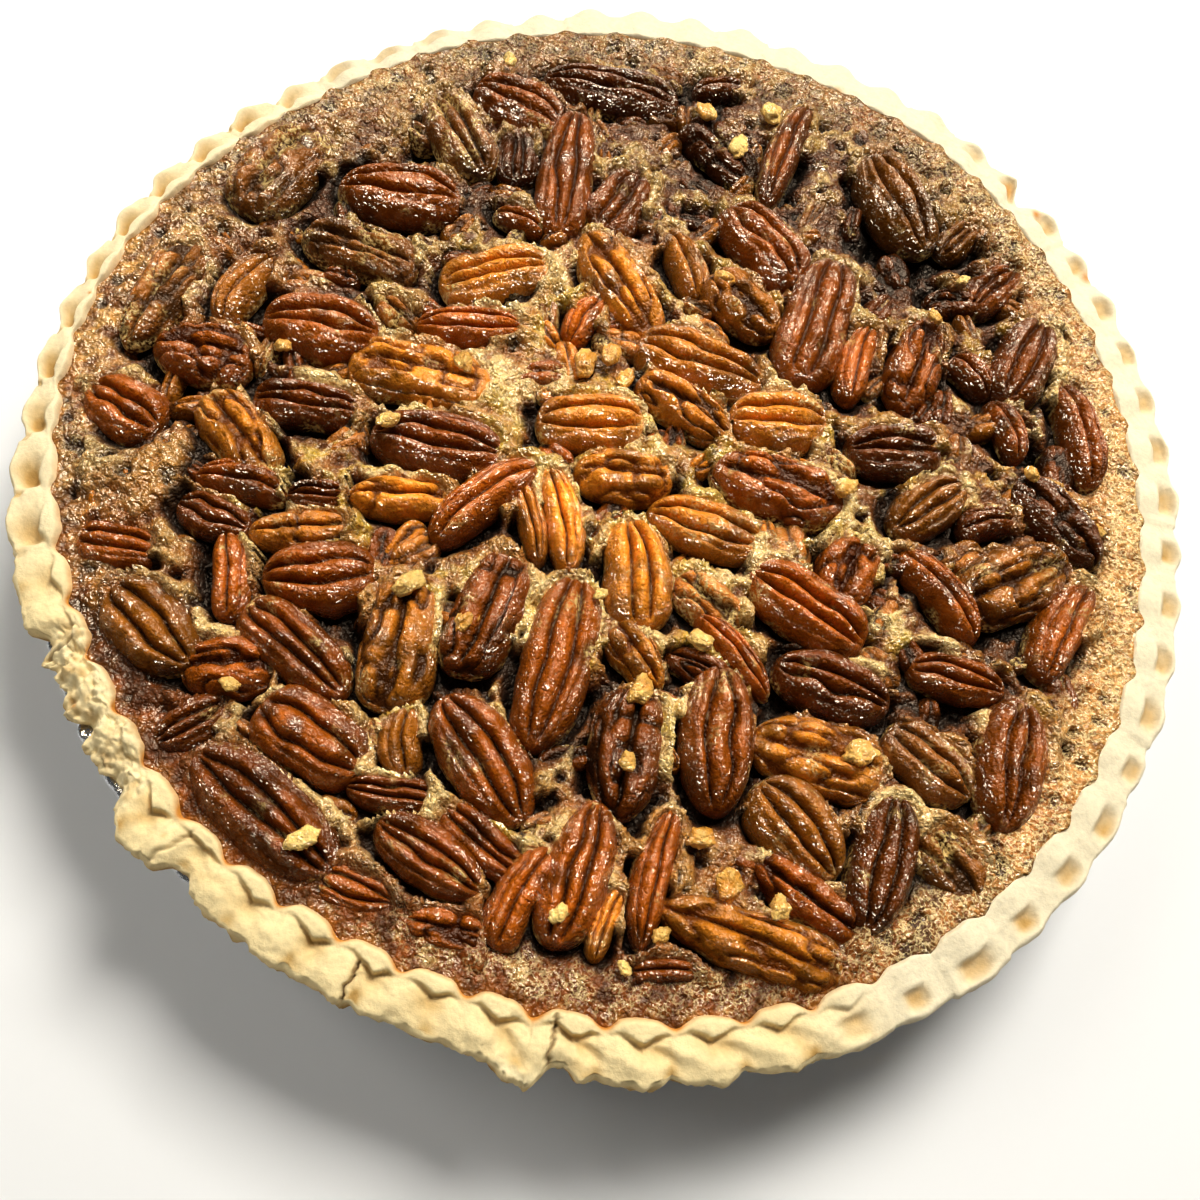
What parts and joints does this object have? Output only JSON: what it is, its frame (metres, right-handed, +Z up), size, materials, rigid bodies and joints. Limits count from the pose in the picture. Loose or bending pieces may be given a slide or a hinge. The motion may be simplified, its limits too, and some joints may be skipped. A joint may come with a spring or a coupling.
{
  "type": "pecan pie",
  "caption": "Whole round pecan pie in its pleated foil tin, with a crimped pale crust and glazed pecan halves lying in a browned, frothy filling.",
  "frame": {"origin": "centre of the box round the pie, on the plane the tin stands on", "axes": "+Z up; -Y towards the side where a flap of crust stands out"},
  "size_m": [0.2376, 0.2464, 0.0403],
  "materials": {
    "foil": "thin bright pressed foil, lightly creased",
    "crust": "pale baked shortcrust, matt, tan in the hollows",
    "filling": "browned frothy custard with a sugar glaze",
    "pecan_red": "red-brown toasted pecan under syrup",
    "pecan_brown": "brown toasted pecan under syrup",
    "pecan_dark": "dark toasted pecan under thick syrup",
    "pecan_amber": "amber pecan under syrup",
    "pecan_frothed": "pecan under a film of browned froth"
  },
  "bodies": {
    "root": {"foil_tin": "foil", "crust": "crust", "pecan_red_ridged_1": "pecan_red", "pecan_dark_ridged_1": "pecan_dark", "pecan_amber_wrinkled_1": "pecan_amber", "pecan_red_edge_1": "pecan_red", "pecan_red_ridged_2": "pecan_red", "pecan_red_ridged_3": "pecan_red", "pecan_red_ridged_4": "pecan_red", "pecan_dark_ridged_2": "pecan_dark", "pecan_brown_ridged_1": "pecan_brown", "pecan_red_ridged_5": "pecan_red", "pecan_red_edge_2": "pecan_red", "pecan_red_ridged_6": "pecan_red", "pecan_brown_ridged_2": "pecan_brown", "pecan_amber_wrinkled_2": "pecan_amber", "pecan_amber_ridged_1": "pecan_amber", "pecan_brown_ridged_3": "pecan_brown", "pecan_brown_wrinkled_1": "pecan_brown", "pecan_amber_ridged_2": "pecan_amber", "pecan_red_wrinkled_1": "pecan_red", "pecan_amber_wrinkled_3": "pecan_amber", "pecan_amber_ridged_3": "pecan_amber", "pecan_brown_ridged_4": "pecan_brown", "pecan_red_ridged_7": "pecan_red", "pecan_dark_ridged_3": "pecan_dark", "pecan_red_ridged_8": "pecan_red", "pecan_dark_wrinkled_1": "pecan_dark", "pecan_red_ridged_9": "pecan_red", "pecan_red_ridged_10": "pecan_red", "pecan_brown_wrinkled_2": "pecan_brown", "pecan_dark_wrinkled_2": "pecan_dark", "pecan_dark_ridged_4": "pecan_dark", "pecan_red_ridged_11": "pecan_red", "pecan_red_ridged_12": "pecan_red", "pecan_red_ridged_13": "pecan_red", "pecan_red_ridged_14": "pecan_red", "pecan_brown_ridged_5": "pecan_brown", "pecan_amber_wrinkled_4": "pecan_amber", "pecan_frothed_wrinkled_1": "pecan_frothed", "pecan_frothed_wrinkled_2": "pecan_frothed", "pecan_frothed_wrinkled_3": "pecan_frothed", "pecan_red_wrinkled_2": "pecan_red", "pecan_frothed_ridged_1": "pecan_frothed", "pecan_red_ridged_15": "pecan_red", "pecan_red_ridged_16": "pecan_red", "pecan_red_wrinkled_3": "pecan_red", "pecan_dark_ridged_5": "pecan_dark", "pecan_dark_wrinkled_3": "pecan_dark", "pecan_brown_wrinkled_3": "pecan_brown", "pecan_red_edge_3": "pecan_red", "pecan_red_ridged_17": "pecan_red", "pecan_amber_wrinkled_5": "pecan_amber", "pecan_brown_ridged_6": "pecan_brown", "pecan_dark_ridged_6": "pecan_dark", "pecan_amber_wrinkled_6": "pecan_amber", "pecan_brown_wrinkled_4": "pecan_brown", "pecan_red_ridged_18": "pecan_red", "pecan_dark_wrinkled_4": "pecan_dark", "filling": "filling"}
  },
  "joints": []
}
